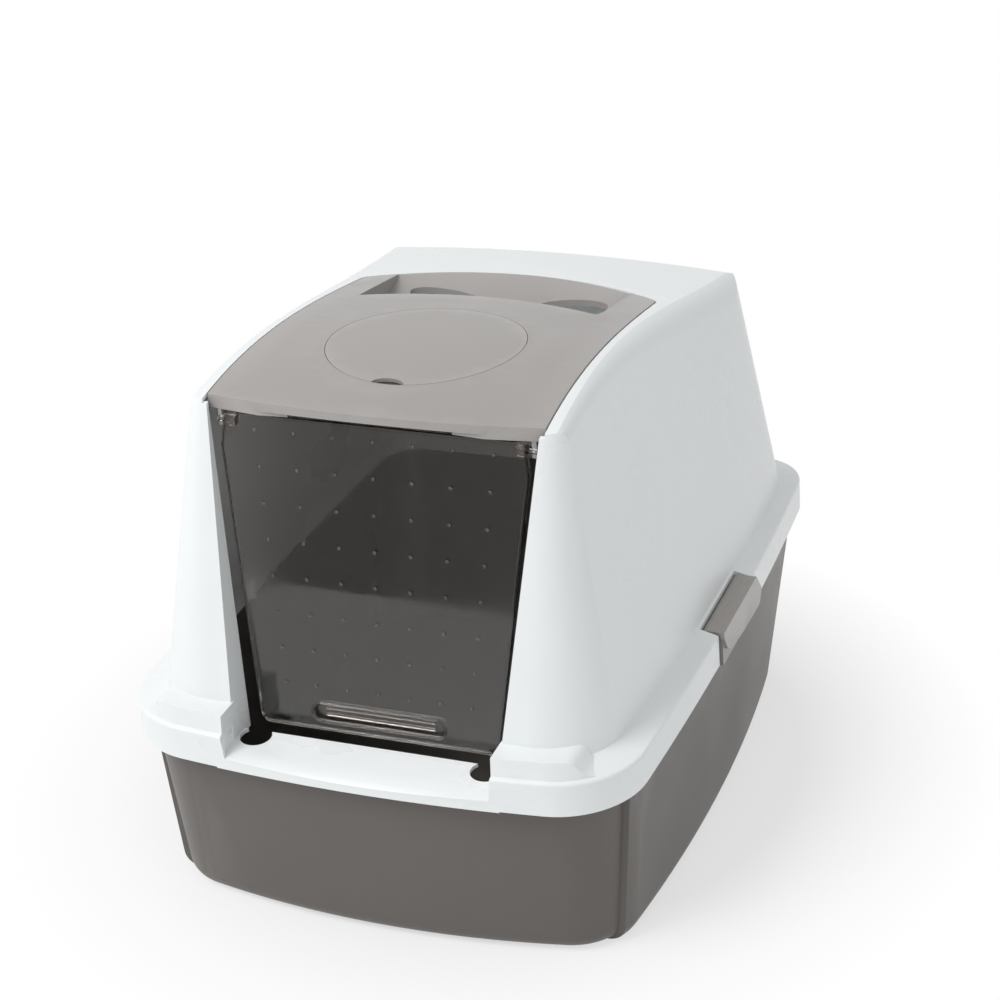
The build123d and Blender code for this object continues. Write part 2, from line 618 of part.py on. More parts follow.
def lid():
    """The grey front lid with its handle, filter pocket and door ears."""
    top = roof_solid(0)
    plan = lid_plan(0) & lid_front(0)
    body = (top - roof_solid(LID_THICK)) & plan
    lip = (top - roof_solid(LID_LIP_DROP)) & (plan - lid_front(LID_THICK))
    body = body + lip

    # filter pocket
    depth = pocket_depth()
    cup = (disc(FILTER_RADIUS + 3) & top) - roof_solid(depth + POCKET_FLOOR)
    body = body + cup
    body = body - (disc(FILTER_RADIUS) - roof_solid(LID_THICK + SEAT_GAP))
    body = body - (disc(FILTER_RADIUS - 3) - roof_solid(depth))
    count = int((FILTER_RADIUS - 14) / SLOT_PITCH)
    for k in range(-count, count + 1):
        reach = sqrt((FILTER_RADIUS - 14) ** 2 - (k * SLOT_PITCH) ** 2)
        y = FILTER_Y + k * SLOT_PITCH
        body = body - box(-reach, reach, y - SLOT_WIDTH / 2, y + SLOT_WIDTH / 2, TUB_FLOOR, HIGH)

    # handle
    body = body - grip_window()
    low = HANDLE_FRONT_Z - HANDLE_THICK
    cheek = box(GRIP_HALF, GRIP_HALF + 3, TUB_FRONT + 5, LONG, low, HIGH)
    cheek = cheek & lid_plan(0) & top
    body = body + handle()
    for side in both(cheek):
        body = body + side

    # trunnions
    ear_x = LID_HALF - LID_TAPER * (LID_AXIS_Y - LID_FRONT_Y) - 2 - LID_EAR
    ear = box(ear_x, ear_x + LID_EAR, LID_AXIS_Y - 9, LID_AXIS_Y + 9, LID_AXIS_Z, HIGH)
    ear = ear + Pos(ear_x + LID_EAR / 2, LID_AXIS_Y, LID_AXIS_Z) * Rot(0, 90, 0) * Cylinder(9, LID_EAR)
    ear = ear & top
    length = LID_HALF - 3 - ear_x
    pin = Rot(0, 90, 0) * Cylinder(LID_PIN_RADIUS, length)
    pin = Pos(ear_x + length / 2, LID_AXIS_Y, LID_AXIS_Z) * pin
    for side in both(ear + pin):
        body = body + side

    # the door's ears
    lug = box(DOOR_EAR_X, DOOR_EAR_X + LID_EAR, DOOR_PIN_Y - 5, DOOR_PIN_Y + 7, DOOR_PIN_Z, HIGH)
    lug = lug + Pos(DOOR_EAR_X + LID_EAR / 2, DOOR_PIN_Y, DOOR_PIN_Z) * Rot(0, 90, 0) * Cylinder(6, LID_EAR)
    lug = (lug & top) & lid_front(0.5)
    hole = Pos(0, DOOR_PIN_Y, DOOR_PIN_Z) * Rot(0, 90, 0) * Cylinder(DOOR_PIN_RADIUS + PIN_GAP, 400)
    for side in both(lug):
        body = body + side
    return body - hole


def filter_cap():
    """The flush round cap over the filter, with a finger notch."""
    cap = ((disc(FILTER_RADIUS - FILTER_SEAM) & roof_solid(0)) - roof_solid(LID_THICK))
    notch = Pos(0, FILTER_Y - FILTER_RADIUS, ROOF_TOP) * Cylinder(9, 108)
    return cap - notch


def filter_pad():
    """The carbon pad under the cap."""
    pad = disc(FILTER_RADIUS - 3 - 2 * SEAT_GAP) & roof_solid(LID_THICK + SEAT_GAP)
    return pad - roof_solid(LID_THICK + SEAT_GAP + PAD_THICK)


# ----------------------------------------------------------------- door
def swing_door():
    """The smoked panel that hangs from the lid."""
    def half(z):
        return DOOR_HALF_LOW + DOOR_FLARE * (z - DOOR_BOTTOM)

    z0 = DOOR_BOTTOM
    z1 = DOOR_TOP
    y = -LONG
    outline = make_face(Polyline(
        (-half(z0), y, z0), (half(z0), y, z0), (half(z1), y, z1), (-half(z1), y, z1), close=True)).face()
    outline = outline.fillet_2d(DOOR_CORNER, outline.vertices().group_by(Axis.Z)[0])
    prism = extrude(outline, amount=LONG, dir=(0, 1, 0))
    t = DOOR_THICK / 2
    slab = side_profile([
        (door_y(0) - t, 0), (door_y(HIGH) - t, HIGH),
        (door_y(HIGH) + t, HIGH), (door_y(0) + t, 0)], WIDE)
    panel = slab & prism
    arm_x = half(DOOR_PIN_Z) - 9
    arm = box(arm_x, half(DOOR_PIN_Z) - 0.5, door_y(DOOR_PIN_Z), DOOR_PIN_Y, DOOR_PIN_Z - 4, DOOR_PIN_Z + 4)
    arm = arm + Pos(arm_x + 4.25, DOOR_PIN_Y, DOOR_PIN_Z) * Rot(0, 90, 0) * Cylinder(4.5, 8.5)
    x1 = DOOR_EAR_X + LID_EAR + 0.5
    length = x1 - arm_x
    pin = Rot(0, 90, 0) * Cylinder(DOOR_PIN_RADIUS, length)
    pin = Pos(arm_x + length / 2, DOOR_PIN_Y, DOOR_PIN_Z) * pin
    for side in both(arm + pin):
        panel = panel + side
    return panel


# -------------------------------------------------------------- latches
def latch_right():
    """A side latch: outer plate, top pad, hinge barrel and hook."""
    x0 = LATCH_FACE - LATCH_THICK
    y0 = POCKET_Y0 + LATCH_GAP
    y1 = POCKET_Y1 - LATCH_GAP
    face = make_face(Polyline(
        (x0, -36, 171), (x0, -27, 156), (x0, -15, 150), (x0, 20, 146.5), (x0, 68, 145),
        (x0, 77, 156), (x0, y1, LATCH_TOP), (x0, y0, LATCH_TOP), close=True)).face()
    low = [v for v in face.vertices() if v.Z < LATCH_TOP - 1]
    face = face.fillet_2d(6.0, low)
    body = extrude(face, amount=LATCH_THICK, dir=(1, 0, 0))
    body = body + box(LATCH_PIN_X, x0 + 1, y0, y1, LATCH_TOP - 3.5, LATCH_TOP)
    length = y1 - y0
    middle = (y0 + y1) / 2
    body = body + Pos(LATCH_PIN_X, middle, LATCH_PIN_Z) * Rot(90, 0, 0) * Cylinder(LATCH_BARREL, length)
    body = body + box(x0 - 3, x0 + 1, y0 + 3, y1 - 3, PAN_HEIGHT - 9, LATCH_TOP)
    hook_top = PAN_HEIGHT - RIM_LIP_THICK - RUN_GAP
    tip = FLANGE_WIDTH / 2 - WALL - PAN_SKIRT_GAP + RIM_LIP + SEAT_GAP
    body = body + box(tip, x0 + 1, -18, 44, hook_top - 1, hook_top + 3.5)
    pin = Cylinder(LATCH_PIN_RADIUS, length + 2 * (LATCH_GAP + WALL - 0.5))
    return body + Pos(LATCH_PIN_X, middle, LATCH_PIN_Z) * Rot(90, 0, 0) * pin


def latch_left():
    return mirror(latch_right(), about=Plane.YZ)


PARTS = [pan, hood, lid, filter_cap, filter_pad, swing_door, latch_right, latch_left]

os.makedirs("parts", exist_ok=True)
for make in PARTS:
    shape = make()
    solids = shape.solids()
    print(make.__name__, len(solids), [round(s.volume) for s in solids])
    export_step(shape, "parts/" + make.__name__ + ".step")
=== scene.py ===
# %% [markdown]
# # A hooded litter box in moulded plastic
#
# This lesson finishes a litter box: a grey pan, a white hood, a warm grey
# front lid and a smoked swing door.  The solids come ready made as a fixed
# frame.  Some only need a surface, and some are made again with the small
# shapes that a moulding has.  First the frame is loaded.

# %% Load the frame
import bpy, bmesh, math
from mathutils import Matrix, Vector, noise


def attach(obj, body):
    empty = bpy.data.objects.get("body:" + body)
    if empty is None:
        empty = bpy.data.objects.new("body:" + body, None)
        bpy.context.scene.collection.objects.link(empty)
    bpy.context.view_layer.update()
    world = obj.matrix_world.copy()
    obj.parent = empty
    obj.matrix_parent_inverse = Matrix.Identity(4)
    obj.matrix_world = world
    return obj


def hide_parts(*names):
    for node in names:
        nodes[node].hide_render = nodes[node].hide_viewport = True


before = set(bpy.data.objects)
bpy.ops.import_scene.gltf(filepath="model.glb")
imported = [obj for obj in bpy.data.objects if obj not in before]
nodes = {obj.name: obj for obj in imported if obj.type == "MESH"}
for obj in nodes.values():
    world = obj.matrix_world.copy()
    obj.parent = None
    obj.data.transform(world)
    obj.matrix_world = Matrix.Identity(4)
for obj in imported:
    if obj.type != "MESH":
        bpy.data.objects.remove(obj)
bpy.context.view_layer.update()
print("nodes:", sorted(nodes))

# %% [markdown]
# ## The camera
#
# Product pictures are often taken with a long lens from a little above and
# to one side.  Three unit vectors give the camera its stand: the direction
# back to the lens, and the right and up of the level picture.  A small roll
# about the line of sight tips the picture, and the three rolled vectors are
# the columns of the camera's matrix.

# %% Stand the camera
AZIMUTH, ELEVATION, ROLL = math.radians(22.85), math.radians(27.28), math.radians(4.404)
CAMERA_PLACE = Vector((0.7354, -1.6974, 1.2055))
SENSOR_WIDTH, LENS = 36.0, 88.8

back = Vector((math.sin(AZIMUTH) * math.cos(ELEVATION),
               -math.cos(AZIMUTH) * math.cos(ELEVATION), math.sin(ELEVATION)))
level_right = Vector((math.cos(AZIMUTH), math.sin(AZIMUTH), 0))
level_up = back.cross(level_right)
right = level_right * math.cos(ROLL) - level_up * math.sin(ROLL)
up = level_right * math.sin(ROLL) + level_up * math.cos(ROLL)

camera_data = bpy.data.cameras.new("studio_camera")
camera_data.sensor_width = SENSOR_WIDTH
camera_data.lens = LENS
camera = bpy.data.objects.new("studio_camera", camera_data)
bpy.context.collection.objects.link(camera)
camera_turn = Matrix((right, up, back)).transposed().to_4x4()
camera.matrix_world = Matrix.Translation(CAMERA_PLACE) @ camera_turn
bpy.context.scene.camera = camera
print("camera looks along", [round(v, 3) for v in -back])

# %% [markdown]
# ## Helpers for node trees
#
# Floor, sky, plastic and felt do small sums with Math and Map Range nodes,
# and the last two carry a noise pattern and a relief as well.  A few helpers
# write each of these in one line.  A term may be a number, which is set on
# the socket, or another node's output, which is linked to it.

# %% Sums and patterns with nodes
def feed(tree, term, socket):
    if isinstance(term, bpy.types.NodeSocket):
        tree.links.new(term, socket)
    else:
        socket.default_value = term


def calc(tree, operation, *terms):
    node = tree.nodes.new("ShaderNodeMath")
    node.operation = operation
    for term, socket in zip(terms, node.inputs):
        feed(tree, term, socket)
    return node.outputs[0]


def remap(tree, value, source, target):
    node = tree.nodes.new("ShaderNodeMapRange")
    node.inputs["From Min"].default_value, node.inputs["From Max"].default_value = source
    node.inputs["To Min"].default_value, node.inputs["To Max"].default_value = target
    tree.links.new(value, node.inputs["Value"])
    return node.outputs["Result"]


def noise_pattern(tree, scale, detail, distortion=0.0):
    place = tree.nodes.new("ShaderNodeTexCoord")
    pattern = tree.nodes.new("ShaderNodeTexNoise")
    feed(tree, place.outputs["Object"], pattern.inputs["Vector"])
    feed(tree, scale, pattern.inputs["Scale"])
    feed(tree, detail, pattern.inputs["Detail"])
    feed(tree, distortion, pattern.inputs["Distortion"])
    return pattern.outputs["Fac"]


def emboss(tree, height, strength, distance):
    relief = tree.nodes.new("ShaderNodeBump")
    feed(tree, strength, relief.inputs["Strength"])
    feed(tree, distance, relief.inputs["Distance"])
    feed(tree, height, relief.inputs["Height"])
    feed(tree, relief.outputs["Normal"], tree.nodes["Principled BSDF"].inputs["Normal"])


print("node helpers:", [f.__name__ for f in (feed, calc, remap, noise_pattern, emboss)])

# %% [markdown]
# ## The floor
#
# The box stands on a plain pale sweep.  Its mesh is one square, laid a hair
# below the box so that the two never share a plane.

# %% Lay the floor
FLOOR_REACH, FLOOR_DROP = 6.0, 0.0005


def stand_mesh(bm, name):
    mesh = bpy.data.meshes.new(name)
    bm.to_mesh(mesh)
    bm.free()
    piece = bpy.data.objects.new(name, mesh)
    bpy.context.collection.objects.link(piece)
    return piece


def paint(piece, material):
    piece.data.materials.clear()
    piece.data.materials.append(material)


def make_floor():
    bm = bmesh.new()
    bmesh.ops.create_grid(bm, x_segments=1, y_segments=1, size=FLOOR_REACH)
    bmesh.ops.translate(bm, verts=bm.verts, vec=(0, 0, -FLOOR_DROP))
    floor = stand_mesh(bm, "floor")
    return floor


floor = make_floor()
print("floor laid, metres across:", 2 * FLOOR_REACH)

# %% [markdown]
# A white background comes from the colour that is seen, not from more light.
# A Light Path node tells camera, transmitted and glossy rays from those that
# carry light on.  The first find a plain white, and near the box a share of
# the lit paper is mixed in, which leaves a soft shadow.

# %% Whiten the floor
SHADOW_UP_TO, WHITE_FROM = 0.27, 0.44
WHITE_NEAR_BOX = 0.6
PAPER_WHITE, PLAIN_WHITE = (0.9, 0.9, 0.9, 1), (1, 1, 1, 1)


def seen_rays(tree):
    rays = tree.nodes.new("ShaderNodeLightPath")
    seen = calc(tree, "MAXIMUM", rays.outputs["Is Camera Ray"], rays.outputs["Is Transmission Ray"])
    return calc(tree, "MAXIMUM", seen, rays.outputs["Is Glossy Ray"])


def blend(tree, amount, lit, shown, output):
    mix = tree.nodes.new("ShaderNodeMixShader")
    feed(tree, amount, mix.inputs["Fac"])
    feed(tree, lit.outputs[0], mix.inputs[1])
    feed(tree, shown.outputs[0], mix.inputs[2])
    feed(tree, mix.outputs[0], tree.nodes.new(output).inputs["Surface"])


def floor_paper():
    material = bpy.data.materials.new("floor_paper")
    material.use_nodes = True
    tree = material.node_tree
    tree.nodes.clear()
    paper = tree.nodes.new("ShaderNodeBsdfDiffuse")
    paper.inputs["Color"].default_value = PAPER_WHITE
    glow = tree.nodes.new("ShaderNodeEmission")
    glow.inputs["Color"].default_value = PLAIN_WHITE
    where = tree.nodes.new("ShaderNodeTexCoord")
    distance = tree.nodes.new("ShaderNodeVectorMath")
    distance.operation = "LENGTH"
    feed(tree, where.outputs["Object"], distance.inputs[0])
    white = remap(tree, distance.outputs["Value"], (SHADOW_UP_TO, WHITE_FROM),
                  (WHITE_NEAR_BOX, 1.0))
    amount = calc(tree, "MULTIPLY", seen_rays(tree), white)
    blend(tree, amount, paper, glow, "ShaderNodeOutputMaterial")
    return material


paint(floor, floor_paper())
print("floor white beyond", WHITE_FROM, "m")

# %% [markdown]
# ## The light
#
# A white product wants soft light: a broad lamp high in front on the left,
# and a weak one on the right to fill.

# %% Hang the lamps
BOX_MIDDLE = Vector((0, 0, 0.2))


def area_lamp(name, place, size, watts):
    data = bpy.data.lights.new(name, "AREA")
    data.shape = "DISK"
    data.size = size
    data.energy = watts
    lamp = bpy.data.objects.new(name, data)
    bpy.context.collection.objects.link(lamp)
    lamp.location = place
    lamp.rotation_euler = (BOX_MIDDLE - Vector(place)).to_track_quat("-Z", "Y").to_euler()


area_lamp("key_lamp", place=(-1.3, -1.6, 2.6), size=1.6, watts=50)
area_lamp("fill_lamp", place=(2.2, -1.2, 1.4), size=1.4, watts=3)

# %% [markdown]
# The world adds an even glow from all sides.  Like the floor it is plain
# white to camera, transmitted and glossy rays, so the strength of the glow
# can be set for the box alone.

# %% Light the sky
GLOW_COLOUR, GLOW_STRENGTH = (0.99, 1.0, 1.0, 1), 0.54


def background(tree, colour, strength):
    node = tree.nodes.new("ShaderNodeBackground")
    node.inputs["Color"].default_value = colour
    node.inputs["Strength"].default_value = strength
    return node


world = bpy.data.worlds.new("studio")
bpy.context.scene.world = world
world.use_nodes = True
sky = world.node_tree
sky.nodes.clear()
sky_glow = background(sky, GLOW_COLOUR, GLOW_STRENGTH)
sky_white = background(sky, PLAIN_WHITE, 1.0)
blend(sky, seen_rays(sky), sky_glow, sky_white, "ShaderNodeOutputWorld")
bpy.context.scene.view_settings.view_transform = "Standard"
print("world glow:", GLOW_STRENGTH)

# %% [markdown]
# ## The black card
#
# A glossy clear sheet in a white room is veiled by the white that it
# mirrors, so a black card is stood where the sheet would mirror the room.
# It stands in front of the box, nearer than the camera.  Only mirrored rays
# meet it: its other kinds of visibility are turned off, so it neither hides
# the box nor shades it.

# %% Stand the card
CARD_HALF_WIDE, CARD_HALF_HIGH = 3.0, 1.2
CARD_PLACE = (0, -1.45, 1.2)
CARD_BLACK = (0.02, 0.02, 0.02, 1)
QUARTER_TURN = math.pi / 2


def black_card():
    bm = bmesh.new()
    bmesh.ops.create_grid(bm, x_segments=1, y_segments=1, size=1.0)
    stand = Matrix.Translation(CARD_PLACE) @ Matrix.Rotation(QUARTER_TURN, 4, "X")
    size = Matrix.Diagonal((CARD_HALF_WIDE, CARD_HALF_HIGH, 1.0, 1.0))
    bmesh.ops.transform(bm, matrix=stand @ size, verts=bm.verts)
    card = stand_mesh(bm, "black_card")
    material = bpy.data.materials.new("card_black")
    material.use_nodes = True
    shader = material.node_tree.nodes["Principled BSDF"]
    shader.inputs["Base Color"].default_value = CARD_BLACK
    paint(card, material)
    card.visible_camera = False
    card.visible_diffuse = False
    card.visible_transmission = False
    card.visible_shadow = False


black_card()
print("black card at y", CARD_PLACE[1])

# %% [markdown]
# ## The moulded skin
#
# Every rigid piece is injection moulded.  Up close such plastic is never one
# flat colour: the tool leaves a fine grain, the melt leaves faint cloudy
# flow, and rubbed edges turn a little smoother and paler.  One node group
# makes all three, so each material only sets its own amounts.  Geometry's
# Pointiness finds the edges, because it costs nothing and follows the mesh.

# %% The skin group
CLOUD_SCALE, CLOUD_SPAN = 9.0, (0.3, 0.7)
EDGE_SPAN = (0.52, 0.60)
RUBBED_PALER, RUBBED_SMOOTHER, CLOUD_ROUGHER = 0.35, 0.3, 0.05


def skin_sockets(group):
    given = (("Cloud", 0.03), ("Rubbed", 0.15), ("Grain size", 900.0), ("Roughness", 0.4))
    add = group.interface.new_socket
    colour = add(name="Colour", in_out="INPUT", socket_type="NodeSocketColor")
    colour.default_value = (0.5, 0.5, 0.5, 1)
    for name, value in given:
        add(name=name, in_out="INPUT", socket_type="NodeSocketFloat").default_value = value
    add(name="Colour", in_out="OUTPUT", socket_type="NodeSocketColor")
    add(name="Roughness", in_out="OUTPUT", socket_type="NodeSocketFloat")
    add(name="Height", in_out="OUTPUT", socket_type="NodeSocketFloat")


def moulded_skin():
    group = bpy.data.node_groups.new("moulded_skin", "ShaderNodeTree")
    skin_sockets(group)
    given = group.nodes.new("NodeGroupInput").outputs
    result = group.nodes.new("NodeGroupOutput").inputs

    flow = noise_pattern(group, CLOUD_SCALE, detail=3.0)
    clouds = remap(group, flow, CLOUD_SPAN, (-1.0, 1.0))
    cloud = calc(group, "MULTIPLY", clouds, given["Cloud"])
    pointiness = group.nodes.new("ShaderNodeNewGeometry").outputs["Pointiness"]
    edge = remap(group, pointiness, EDGE_SPAN, (0.0, 1.0))
    rubbed = calc(group, "MULTIPLY", edge, given["Rubbed"])

    value = calc(group, "ADD", cloud, 1.0)
    value = calc(group, "MULTIPLY_ADD", rubbed, RUBBED_PALER, value)
    tint = group.nodes.new("ShaderNodeHueSaturation")
    feed(group, given["Colour"], tint.inputs["Color"])
    feed(group, value, tint.inputs["Value"])
    feed(group, tint.outputs["Color"], result["Colour"])

    rough = calc(group, "MULTIPLY_ADD", clouds, CLOUD_ROUGHER, given["Roughness"])
    rough = calc(group, "MULTIPLY_ADD", rubbed, -RUBBED_SMOOTHER, rough)
    feed(group, rough, result["Roughness"])
    grain = noise_pattern(group, given["Grain size"], detail=2.0)
    feed(group, grain, result["Height"])
    return group


SKIN = moulded_skin()
print("skin group:", len(SKIN.nodes), "nodes")

# %% [markdown]
# ## The plastics
#
# Four solid plastics share the skin: the pan's dark warm grey, the hood's
# cool white, the lid's light warm grey and a slightly darker one for the
# latches.  Their colours are written as linear values.  The same function
# pours a clear plastic, when it is told how much light goes through.

# %% Mix the plastics
GRAIN_DEPTH = 0.0002


def moulded(name, colour, roughness, cloud, rubbed, grain, bump, ior=1.49, clear=0.0):
    material = bpy.data.materials.new(name)
    material.use_nodes = True
    tree = material.node_tree
    shader = tree.nodes["Principled BSDF"]
    shader.inputs["IOR"].default_value = ior
    shader.inputs["Transmission Weight"].default_value = clear
    skin = tree.nodes.new("ShaderNodeGroup")
    skin.node_tree = SKIN
    skin.inputs["Colour"].default_value = (*colour, 1)
    skin.inputs["Cloud"].default_value = cloud
    skin.inputs["Rubbed"].default_value = rubbed
    skin.inputs["Grain size"].default_value = grain
    skin.inputs["Roughness"].default_value = roughness
    feed(tree, skin.outputs["Colour"], shader.inputs["Base Color"])
    feed(tree, skin.outputs["Roughness"], shader.inputs["Roughness"])
    emboss(tree, skin.outputs["Height"], bump, GRAIN_DEPTH)
    return material


PAN_GREY = moulded("pan_grey", (0.122, 0.110, 0.101), roughness=0.42, cloud=0.05, rubbed=0.5,
                   grain=1400.0, bump=0.25)
HOOD_WHITE = moulded("hood_white", (0.86, 0.885, 0.89), roughness=0.30, cloud=0.012, rubbed=0.1,
                     grain=1100.0, bump=0.10)
LID_GREY = moulded("lid_grey", (0.362, 0.342, 0.330), roughness=0.38, cloud=0.03, rubbed=0.3,
                   grain=1300.0, bump=0.18)
LATCH_GREY = moulded("latch_grey", (0.34, 0.315, 0.30), roughness=0.40, cloud=0.03, rubbed=0.4,
                     grain=1300.0, bump=0.18)
paint(nodes["pan"], PAN_GREY)
paint(nodes["hood"], HOOD_WHITE)
paint(nodes["latch_right"], LATCH_GREY)
paint(nodes["latch_left"], LATCH_GREY)
print("plastics:", [m.name for m in (PAN_GREY, HOOD_WHITE, LID_GREY, LATCH_GREY)])

# %% [markdown]
# ## The smoked door
#
# The door is clear acrylic with a brown smoke.  A single closed shell with
# the right thickness is what lets light bend through it as it does in the
# real sheet, so the panel is one skin that Solidify's operator thickens.  It
# is drawn flat, facing the front, and one shear leans it into its place.

# %% The door's outline
DOOR_FOOT, DOOR_HEAD = 0.1615, 0.412
DOOR_FOOT_HALF, DOOR_FLARE = 0.1010, 0.1150
CUT_FROM, CUT_LEAN = 0.386, 0.26
DOOR_LEAN, DOOR_MIDDLE_Y, DOOR_MIDDLE_Z = 0.17, -0.2209, 0.2234
SHEET = 0.0025
FRONT_SKIN = -SHEET / 2
RIM_MARGIN = 0.0021


def door_half(z):
    return DOOR_FOOT_HALF + DOOR_FLARE * (z - DOOR_FOOT) - CUT_LEAN * max(0.0, z - CUT_FROM)


def on_rim(p):
    inside = DOOR_FOOT + RIM_MARGIN < p.z < DOOR_HEAD - RIM_MARGIN
    return abs(p.x) > door_half(p.z) - RIM_MARGIN or not inside


def door_shear():
    shear = Matrix.Identity(4)
    shear[1][2] = DOOR_LEAN
    shear[1][3] = DOOR_MIDDLE_Y - DOOR_LEAN * DOOR_MIDDLE_Z
    return shear


print("door half width, foot and head:", round(door_half(DOOR_FOOT), 4),
      round(door_half(DOOR_HEAD), 4))

# %% [markdown]
# The outline is one flat face whose corners are rounded.  Two insets mark
# the rim and the small slope inside it.  The rim's vertices then move
# forwards, so that it stands a little proud of the sheet.

# %% Cut the sheet
FOOT_BELOW, FOOT_ROUND = 0.2, 0.008
HEAD_ABOVE, HEAD_ROUND = 0.4, 0.005
RIM_INSETS, RIM_PROUD = (0.0019, 0.0005), 0.0008


def flat_face(bm, corners):
    return bm.faces.new([bm.verts.new((x, FRONT_SKIN, z)) for x, z in corners])


def round_corners(bm, face, picked, radius, segments):
    verts = [v for v in face.verts if picked(v)]
    bmesh.ops.bevel(bm, geom=verts, offset=radius, offset_type="OFFSET", segments=segments,
                    profile=0.5, affect="VERTICES", material=-1)


def largest_face(bm):
    return max(bm.faces, key=lambda f: f.calc_area())


def rimmed_sheet(bm):
    heights = (DOOR_FOOT, CUT_FROM, DOOR_HEAD)
    right_side = [(door_half(z), z) for z in heights]
    left_side = [(-door_half(z), z) for z in reversed(heights)]
    face = flat_face(bm, right_side + left_side)
    round_corners(bm, face, lambda v: v.co.z < FOOT_BELOW, FOOT_ROUND, segments=8)
    round_corners(bm, largest_face(bm), lambda v: v.co.z > HEAD_ABOVE, HEAD_ROUND, segments=5)
    for across in RIM_INSETS:
        bmesh.ops.inset_region(bm, faces=[largest_face(bm)], thickness=across, depth=0.0,
                               use_even_offset=True, use_boundary=True)
    sheet = largest_face(bm)
    proud = [v for v in bm.verts if on_rim(v.co)]
    bmesh.ops.translate(bm, verts=proud, vec=(0, -RIM_PROUD, 0))
    return sheet


panel = bmesh.new()
sheet = rimmed_sheet(panel)
print("sheet corners:", len(sheet.verts), "rim faces:", len(panel.faces) - 1)

# %% [markdown]
# The pull is a stadium pressed into the sheet: a raised bead, then a wall
# that drops to a floor.  Each step across and down is one inset of the same
# face.  The sheet round it is filled with triangles between two loops of
# edges, the outline inside the rim and the stadium.

# %% Press the pull
PULL_Z, PULL_HALF, PULL_RISE = 0.1755, 0.058, 0.0085
PULL_ROUND = PULL_RISE * 0.98
PULL_STEPS = ((0.0007, 0.0009), (0.0008, 0.0002), (0.0008, -0.0012), (0.0012, -0.0046))


def press_pull(bm, sheet):
    rim = [f for f in bm.faces if f is not sheet]
    outer_loop = list(sheet.edges)
    bmesh.ops.delete(bm, geom=[sheet], context="FACES_ONLY")
    foot, head = PULL_Z - PULL_RISE, PULL_Z + PULL_RISE
    pull = flat_face(bm, [(-PULL_HALF, foot), (PULL_HALF, foot), (PULL_HALF, head),
                          (-PULL_HALF, head)])
    round_corners(bm, pull, lambda v: True, PULL_ROUND, segments=7)
    pull = [f for f in bm.faces if f not in rim][0]
    filled = bmesh.ops.triangle_fill(bm, edges=outer_loop + list(pull.edges), use_beauty=True,
                                     normal=Vector((0, -1, 0)))
    made = [f for f in filled["geom"] if isinstance(f, bmesh.types.BMFace)]
    if pull.normal.y > 0:
        pull.normal_flip()
    for across, deep in PULL_STEPS:
        bmesh.ops.inset_region(bm, faces=[pull], thickness=across, depth=deep,
                               use_even_offset=True)
    bmesh.ops.recalc_face_normals(bm, faces=bm.faces)
    if made[0].normal.y > 0:
        bmesh.ops.reverse_faces(bm, faces=bm.faces)


press_pull(panel, sheet)
print("skin faces:", len(panel.faces))

# %% [markdown]
# Solidify gives the skin its thickness.  The back of the rim is then drawn
# further back, as the turned edge that stiffens the real sheet.

# %% Thicken the sheet
RIM_TURN = 0.0033
FACES_BACK = 0.9


def thicken(bm):
    bmesh.ops.solidify(bm, geom=bm.faces[:], thickness=SHEET)
    turned = [f for f in bm.faces if f.normal.y > FACES_BACK and on_rim(f.calc_center_median())]
    drawn = bmesh.ops.extrude_face_region(bm, geom=turned)["geom"]
    bmesh.ops.translate(bm, verts=[v for v in drawn if isinstance(v, bmesh.types.BMVert)],
                        vec=(0, RIM_TURN, 0))


thicken(panel)
print("panel faces:", len(panel.faces), "y from", round(min(v.co.y for v in panel.verts), 4),
      "to", round(max(v.co.y for v in panel.verts), 4))

# %% [markdown]
# Two thin bars with softened edges are the pull's ribs.  The dimples are low
# domes, eight rows of seven, spread a little wider towards the top as the
# door is: a coarse cone with its tip cut off is enough for a dome this small.

# %% Add ribs and domes
RIB_SIZE, RIB_Y, RIB_SPREAD, RIB_ROUND = (0.094, 0.0016, 0.0022), 0.0028, 0.0028, 0.0005
DOME_ROWS, DOME_COLUMNS = 8, 7
DOME_TOP_ROW, DOME_PITCH = 0.400, 0.029
DOME_REACH, DOME_FLARE = 0.0813, 0.0973
DOME_RADII, DOME_DEPTH, DOME_SUNK = (0.0017, 0.0009), 0.0008, 0.0002


def add_box(bm, size, place, rounding=0.0):
    box = bmesh.ops.create_cube(bm, size=1.0)["verts"]
    bmesh.ops.scale(bm, verts=box, vec=size)
    bmesh.ops.translate(bm, verts=box, vec=place)
    if rounding:
        edges = {e for v in box for e in v.link_edges}
        bmesh.ops.bevel(bm, geom=list(edges), offset=rounding, segments=2, profile=0.5,
                        affect="EDGES", material=-1)


def add_cone(bm, place, radii, depth, segments):
    bmesh.ops.create_cone(bm, cap_ends=True, segments=segments, radius1=radii[0],
                          radius2=radii[1], depth=depth, matrix=place)


def add_ribs(bm):
    for side in (-1, 1):
        add_box(bm, RIB_SIZE, (0, RIB_Y, PULL_Z + side * RIB_SPREAD), RIB_ROUND)


def add_domes(bm):
    middle = (DOME_COLUMNS - 1) / 2
    facing = Matrix.Rotation(QUARTER_TURN, 4, "X")
    for row in range(DOME_ROWS):
        z = DOME_TOP_ROW - DOME_PITCH * row
        reach = DOME_REACH + DOME_FLARE * (z - DOOR_MIDDLE_Z)
        for column in range(DOME_COLUMNS):
            x = reach * (column - middle) / middle
            place = Matrix.Translation((x, FRONT_SKIN - DOME_SUNK, z)) @ facing
            add_cone(bm, place, DOME_RADII, DOME_DEPTH, segments=10)


add_ribs(panel)
add_domes(panel)
print("domes:", DOME_ROWS * DOME_COLUMNS)

